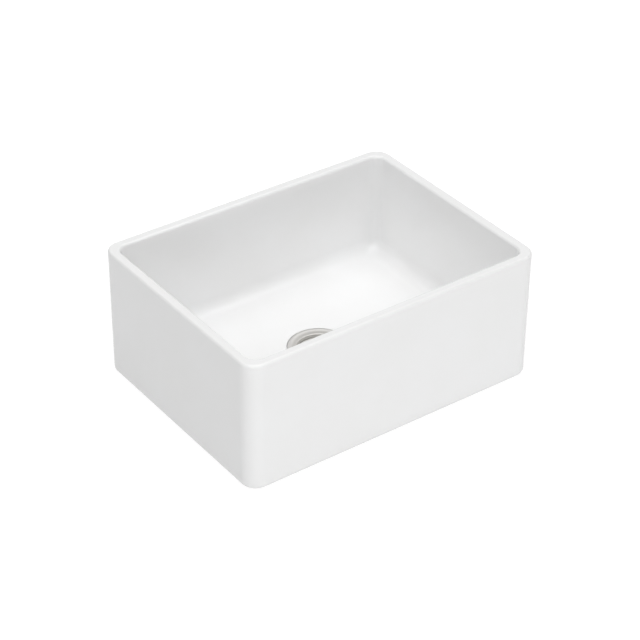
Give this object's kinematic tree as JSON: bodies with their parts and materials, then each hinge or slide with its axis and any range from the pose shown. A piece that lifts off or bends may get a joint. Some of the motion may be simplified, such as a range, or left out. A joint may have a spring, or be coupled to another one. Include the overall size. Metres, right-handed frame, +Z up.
{
  "type": "apron front kitchen sink",
  "caption": "Rectangular apron-front kitchen sink in white glazed fireclay, with a lift-out basket strainer and a pull-up stopper in its centre drain.",
  "frame": {"origin": "on the flat underside of the front foot, on the centre line, where the support frame's front rail bears", "axes": "+Z up, +X to the right seen from the room, -Y towards the room, so the apron faces -Y; the drain axis is the vertical line x = 0, y = 0.2031"},
  "size_m": [0.6096, 0.4572, 0.2819],
  "materials": {
    "glaze": "gloss",
    "strainer_steel": "satin",
    "basket_steel": "satin",
    "post_steel": "satin",
    "knob_chrome": "polished",
    "seal_foam": "matte",
    "gasket_rubber": "matte",
    "ring_rubber": "satin",
    "stopper_rubber": "matte",
    "fibre": "matte",
    "cast_zinc": "satin",
    "plated_brass": "satin",
    "washer_plastic": "satin",
    "bush_nylon": "satin"
  },
  "bodies": {
    "sink": {"sink_body": "glaze", "strainer_body": "strainer_steel", "flange_seal": "seal_foam", "sink_gasket": "gasket_rubber", "friction_washer": "fibre", "locknut": "cast_zinc", "tailpiece_washer": "washer_plastic", "coupling_nut": "plated_brass"},
    "basket": {"basket_cup": "basket_steel", "guide_bush": "bush_nylon", "friction_ring": "ring_rubber"},
    "stopper": {"stopper_post": "post_steel", "stopper_knob": "knob_chrome", "stopper_seal": "stopper_rubber", "seal_washer": "post_steel", "post_nut": "plated_brass"}
  },
  "joints": [
    {"name": "basket_lift", "type": "slide", "parent": "sink", "child": "basket", "axis": [0, 0, 1], "range_m": [0, 0.27]},
    {"name": "stopper_pull", "type": "slide", "parent": "basket", "child": "stopper", "axis": [0, 0, 1], "range_m": [0, 0.0088]}
  ]
}
